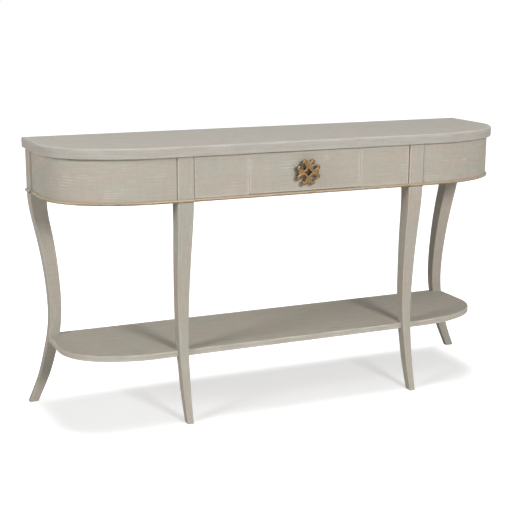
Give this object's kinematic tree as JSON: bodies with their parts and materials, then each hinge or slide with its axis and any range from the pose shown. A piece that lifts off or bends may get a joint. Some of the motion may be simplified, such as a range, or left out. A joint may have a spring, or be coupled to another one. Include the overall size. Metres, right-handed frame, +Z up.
{
  "type": "console table",
  "caption": "Console table with rounded front corners, a curved apron over a gilded bead, sabre legs, a low shelf and a middle drawer with a scroll knob.",
  "frame": {"origin": "on the floor, under the middle of the table's overall box", "axes": "+X to the right along the table, +Y from the drawer side to the flat back, +Z up"},
  "size_m": [1.581, 0.4182, 0.838],
  "materials": {
    "painted_wood": "grey wash, satin",
    "plain_wood": "bare, sanded",
    "gilded_wood": "rubbed gilt",
    "antique_brass": "cast, aged",
    "screw_steel": "zinc plated"
  },
  "bodies": {
    "table": {"top": "painted_wood", "front_leg_left": "painted_wood", "front_leg_right": "painted_wood", "back_leg_left": "painted_wood", "back_leg_right": "painted_wood", "end_apron_left": "painted_wood", "end_apron_right": "painted_wood", "front_panel_left": "painted_wood", "front_panel_right": "painted_wood", "back_apron": "painted_wood", "shelf": "painted_wood", "top_rail": "plain_wood", "bottom_rail": "plain_wood", "drawer_runner_left": "plain_wood", "drawer_runner_right": "plain_wood", "drawer_guide_left": "plain_wood", "drawer_guide_right": "plain_wood", "drawer_kicker_left": "plain_wood", "drawer_kicker_right": "plain_wood", "top_block_back_left": "plain_wood", "top_block_back_right": "plain_wood", "top_block_end_left": "plain_wood", "top_block_end_right": "plain_wood", "bead_front": "gilded_wood", "bead_end_left": "gilded_wood", "bead_end_right": "gilded_wood", "bead_front_post_left": "gilded_wood", "bead_front_post_right": "gilded_wood", "bead_back_post_left": "gilded_wood", "bead_back_post_right": "gilded_wood", "rail_dowels": "plain_wood", "shelf_dowels": "plain_wood", "top_screws": "screw_steel", "runner_screws": "screw_steel"},
    "drawer": {"drawer_front": "painted_wood", "drawer_box_front": "plain_wood", "drawer_side_left": "plain_wood", "drawer_side_right": "plain_wood", "drawer_back": "plain_wood", "drawer_bottom": "plain_wood", "drawer_stop": "plain_wood", "drawer_front_screws": "screw_steel", "knob": "antique_brass", "knob_stem": "antique_brass", "knob_screw": "screw_steel"}
  },
  "joints": [
    {"name": "drawer_slide", "type": "slide", "parent": "table", "child": "drawer", "axis": [0, -1, 0], "range_m": [0, 0.22]}
  ]
}
